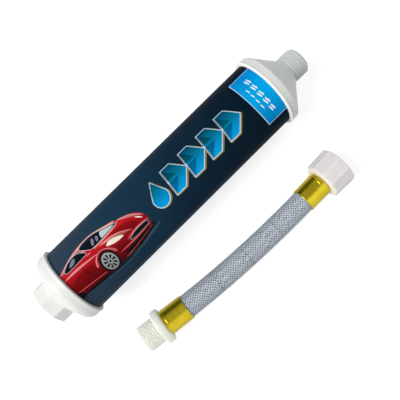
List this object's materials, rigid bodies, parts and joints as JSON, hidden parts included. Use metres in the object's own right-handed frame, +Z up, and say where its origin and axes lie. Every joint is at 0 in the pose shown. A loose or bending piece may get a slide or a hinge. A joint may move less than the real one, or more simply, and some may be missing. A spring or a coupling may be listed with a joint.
{
  "type": "inline water filter",
  "caption": "Tubular inline water filter with a threaded inlet cap and outlet nipple, and a short braided connector hose with a swivel nut.",
  "frame": {"origin": "centre of the filter's inlet mouth, on the filter's axis", "axes": "+X along the filter from inlet to outlet, +Z up away from the surface it lies on, hose on the -Y side"},
  "size_m": [0.3184, 0.1533, 0.0724],
  "materials": {
    "white_cap": "satin moulded ABS",
    "grey_cap": "satin moulded ABS",
    "tube": "extruded rigid pipe",
    "label": "glossy printed film, navy gradient",
    "seal": "matte black rubber",
    "steel_mesh": "woven stainless wire",
    "plate": "moulded polypropylene",
    "felt": "non-woven polyester felt",
    "granules": "loose copper and zinc granules",
    "carbon": "loose activated coconut carbon granules",
    "fitting": "translucent off-white nylon",
    "gold_sleeve": "polished gold-coloured brass",
    "liner": "soft PVC",
    "braid": "braided polyester yarn",
    "jacket": "clear grey-blue PVC over the braid"
  },
  "bodies": {
    "filter": {"housing_tube": "tube", "label_wrap": "label", "inlet_cap": "white_cap", "outlet_cap": "grey_cap", "inlet_washer": "seal", "inlet_strainer": "steel_mesh", "inlet_diffuser": "plate", "inlet_pad": "felt", "granule_bed": "granules", "middle_pad": "felt", "carbon_bed": "carbon", "outlet_pad": "felt", "outlet_grid": "plate"},
    "hose_male_end": {"male_fitting": "fitting", "male_ferrule": "gold_sleeve", "hose_liner_1": "liner", "hose_braid_1": "braid", "hose_jacket_1": "jacket"},
    "hose_link_2": {"hose_liner_2": "liner", "hose_braid_2": "braid", "hose_jacket_2": "jacket"},
    "hose_link_3": {"hose_liner_3": "liner", "hose_braid_3": "braid", "hose_jacket_3": "jacket"},
    "hose_link_4": {"hose_liner_4": "liner", "hose_braid_4": "braid", "hose_jacket_4": "jacket"},
    "hose_nut_end": {"hose_liner_5": "liner", "hose_braid_5": "braid", "hose_jacket_5": "jacket", "nut_ferrule": "gold_sleeve", "nut_tailpiece": "fitting"},
    "nut": {"swivel_nut": "fitting", "nut_washer": "seal"}
  },
  "joints": [
    {"name": "hose_slide", "type": "slide", "parent": "filter", "child": "hose_male_end", "axis": [0, -1, 0], "range_m": [0, 0.1]},
    {"name": "bend_1", "type": "hinge", "parent": "hose_male_end", "child": "hose_link_2", "pos_m": [0.10226, -0.09197, -0.01718], "axis": [0, 0, -1], "range_deg": [-4.5, 18]},
    {"name": "bend_2", "type": "hinge", "parent": "hose_link_2", "child": "hose_link_3", "pos_m": [0.13913, -0.09513, -0.01718], "axis": [0, 0, -1], "range_deg": [-4.5, 18]},
    {"name": "bend_3", "type": "hinge", "parent": "hose_link_3", "child": "hose_link_4", "pos_m": [0.17607, -0.09707, -0.01718], "axis": [0, 0, -1], "range_deg": [-4.5, 18]},
    {"name": "bend_4", "type": "hinge", "parent": "hose_link_4", "child": "hose_nut_end", "pos_m": [0.21307, -0.09778, -0.01718], "axis": [0, 0, -1], "range_deg": [-4.5, 18]},
    {"name": "nut_spin", "type": "hinge", "parent": "hose_nut_end", "child": "nut", "pos_m": [0.25636, -0.09717, -0.01718], "axis": [0.9999, 0.014, 0], "continuous": true}
  ],
  "couplings": [
    {"joint": "bend_2", "follows": "bend_1", "ratio": 1},
    {"joint": "bend_3", "follows": "bend_1", "ratio": 1},
    {"joint": "bend_4", "follows": "bend_1", "ratio": 1}
  ]
}
